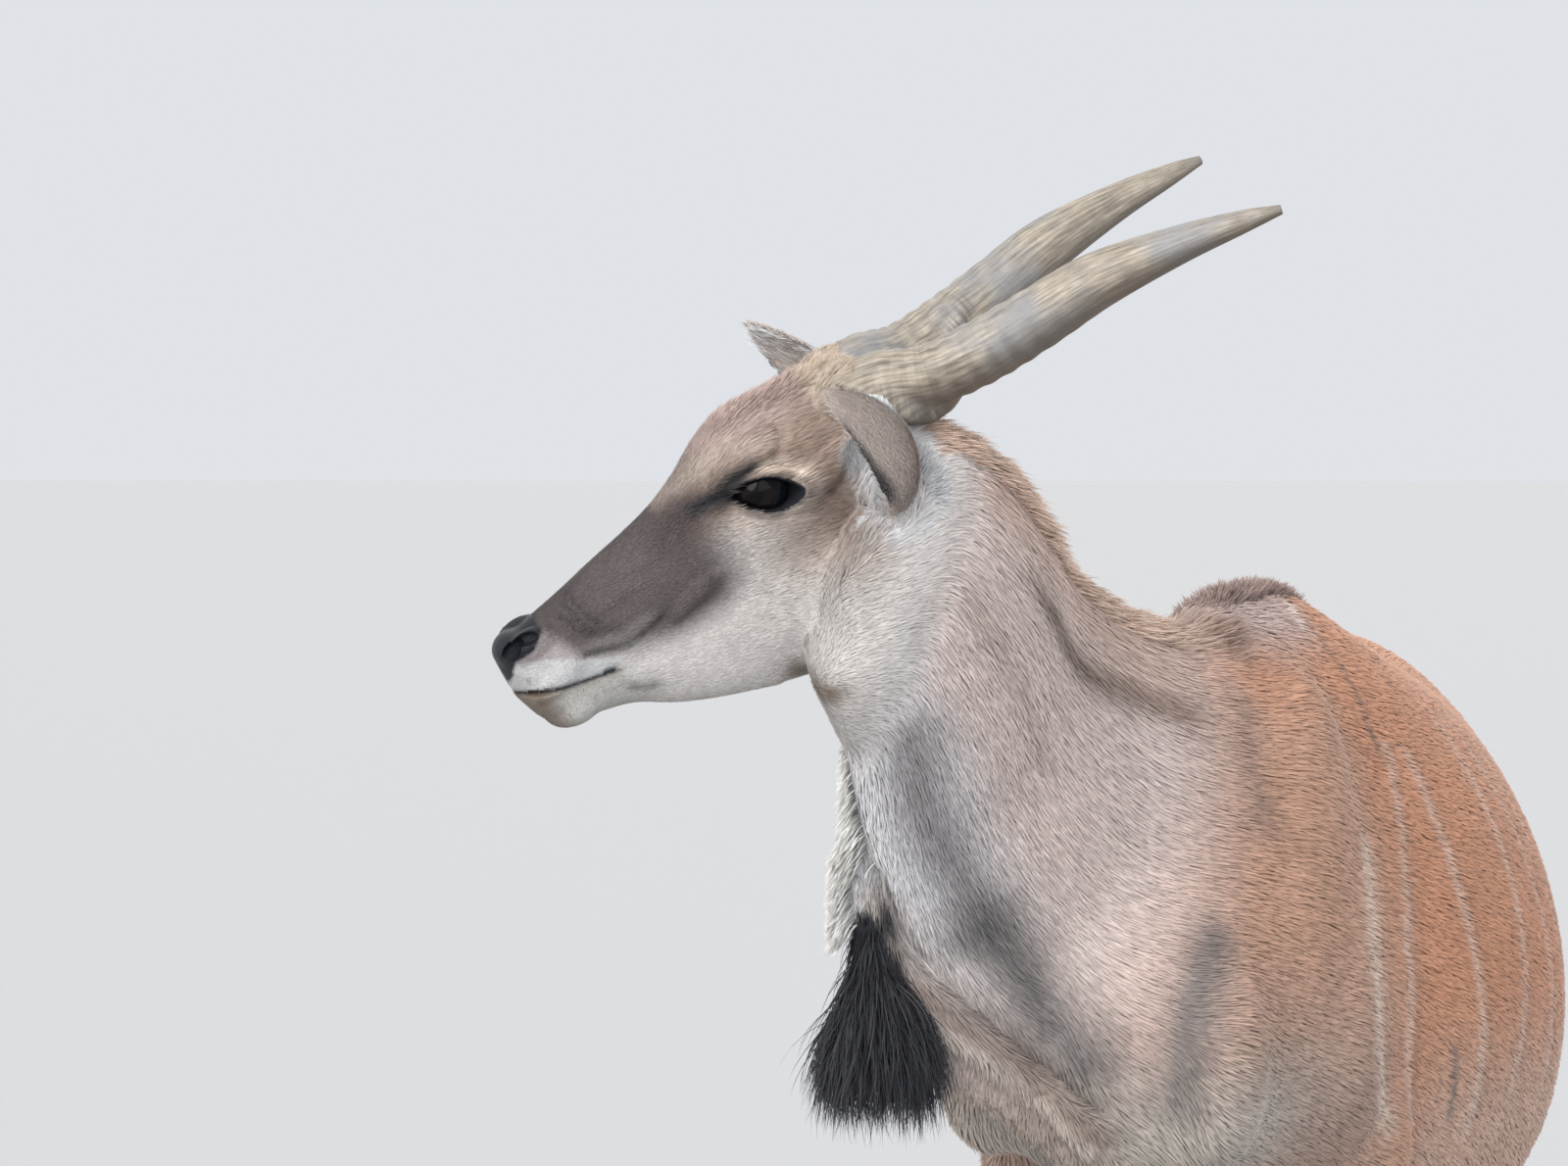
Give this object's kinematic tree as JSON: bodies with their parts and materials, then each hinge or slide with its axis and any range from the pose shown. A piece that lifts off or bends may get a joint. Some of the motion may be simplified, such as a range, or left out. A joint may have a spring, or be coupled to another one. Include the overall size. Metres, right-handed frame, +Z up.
{
  "type": "common eland",
  "caption": "Life-size standing eland, head turned to its right, with twisted horns, mane and dewlap tuft, as a still model.",
  "frame": {"origin": "on the floor, under the middle of the animal's bounding box", "axes": "+Z up, +Y along the body towards the tail, +X to the animal's left"},
  "size_m": [1.0614, 2.3388, 1.8881],
  "materials": {
    "coat_tan": "short tawny hair",
    "coat_grey": "short taupe-grey hair",
    "coat_pale": "short pale hair",
    "hair_black": "long black hair",
    "horn": "ringed, worn horn",
    "hoof": "dark, worn horn",
    "eye": "wet, near black"
  },
  "bodies": {
    "root": {"dewlap": "hair_black", "ear_left": "coat_grey", "ear_right": "coat_grey", "eye_left": "eye", "eye_right": "eye", "foreleg_left": "coat_pale", "foreleg_left_cannon": "coat_pale", "foreleg_left_hoof": "hoof", "foreleg_right": "coat_pale", "foreleg_right_cannon": "coat_pale", "foreleg_right_hoof": "hoof", "head": "coat_grey", "hindleg_left": "coat_pale", "hindleg_left_cannon": "coat_pale", "hindleg_left_hoof": "hoof", "hindleg_right": "coat_pale", "hindleg_right_cannon": "coat_pale", "hindleg_right_hoof": "hoof", "horn_left": "horn", "horn_right": "horn", "neck": "coat_grey", "tail": "coat_tan", "torso": "coat_tan"}
  },
  "joints": []
}
